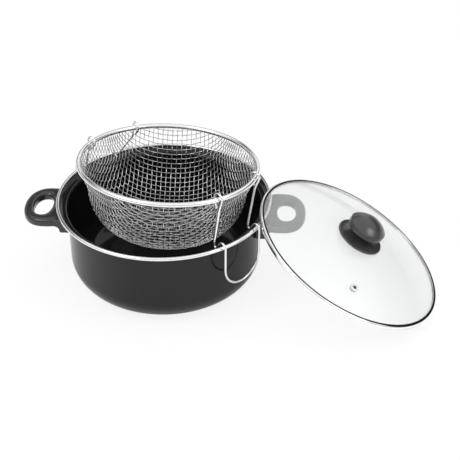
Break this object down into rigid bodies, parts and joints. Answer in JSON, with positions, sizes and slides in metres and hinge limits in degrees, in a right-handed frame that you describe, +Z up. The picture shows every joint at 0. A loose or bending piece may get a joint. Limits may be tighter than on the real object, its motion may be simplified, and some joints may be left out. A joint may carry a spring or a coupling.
{
  "type": "frying pot",
  "caption": "Deep enamelled frying pot with finger-loop handles, a wire basket held raised on hooked wire bails, and a domed glass lid leaning on its rim.",
  "frame": {"origin": "centre of the pot's flat underside, on the table", "axes": "+Z up along the pot's axis; +X to the right, to the side where the lid leans; the viewer stands on the -Y side"},
  "size_m": [0.4998, 0.2939, 0.1658],
  "materials": {
    "enamel": "glossy black enamel",
    "chrome": "polished bright steel",
    "steel": "bright steel",
    "mesh": "woven bright steel wire",
    "bakelite": "satin black moulding",
    "glass": "clear tempered glass",
    "brass": "turned",
    "silicone": "translucent grey"
  },
  "bodies": {
    "pot": {"pot_body": "enamel", "rim_band": "chrome", "handle_left": "bakelite", "handle_right": "bakelite", "handle_bracket_left": "steel", "handle_bracket_right": "steel", "handle_screw_left": "steel", "handle_screw_right": "steel"},
    "lid": {"lid_glass": "glass", "lid_rim": "chrome", "vent_grommet": "steel", "knob": "bakelite", "knob_base": "bakelite", "knob_gasket": "silicone", "knob_washer": "steel", "knob_screw": "steel", "knob_insert": "brass"},
    "basket": {"basket_mesh": "mesh", "basket_rim": "steel"},
    "bail_right": {"bail_right": "chrome"},
    "bail_left": {"bail_left": "chrome"}
  },
  "joints": [
    {"name": "basket_lift", "type": "slide", "parent": "pot", "child": "basket", "axis": [0, 0, 1], "range_m": [0, 0.2]},
    {"name": "lid_lift", "type": "slide", "parent": "pot", "child": "lid", "axis": [0, 0, 1], "range_m": [0, 0.2]},
    {"name": "bail_right_swing", "type": "hinge", "parent": "basket", "child": "bail_right", "pos_m": [0.08706, -0.05863, 0.15307], "axis": [-0.5824, -0.8071, 0.0975], "range_deg": [-2.5, 1.4]},
    {"name": "bail_left_swing", "type": "hinge", "parent": "basket", "child": "bail_left", "pos_m": [-0.06497, 0.06767, 0.15081], "axis": [0.6883, 0.719, -0.0959], "range_deg": [-2.5, 2.4]}
  ]
}
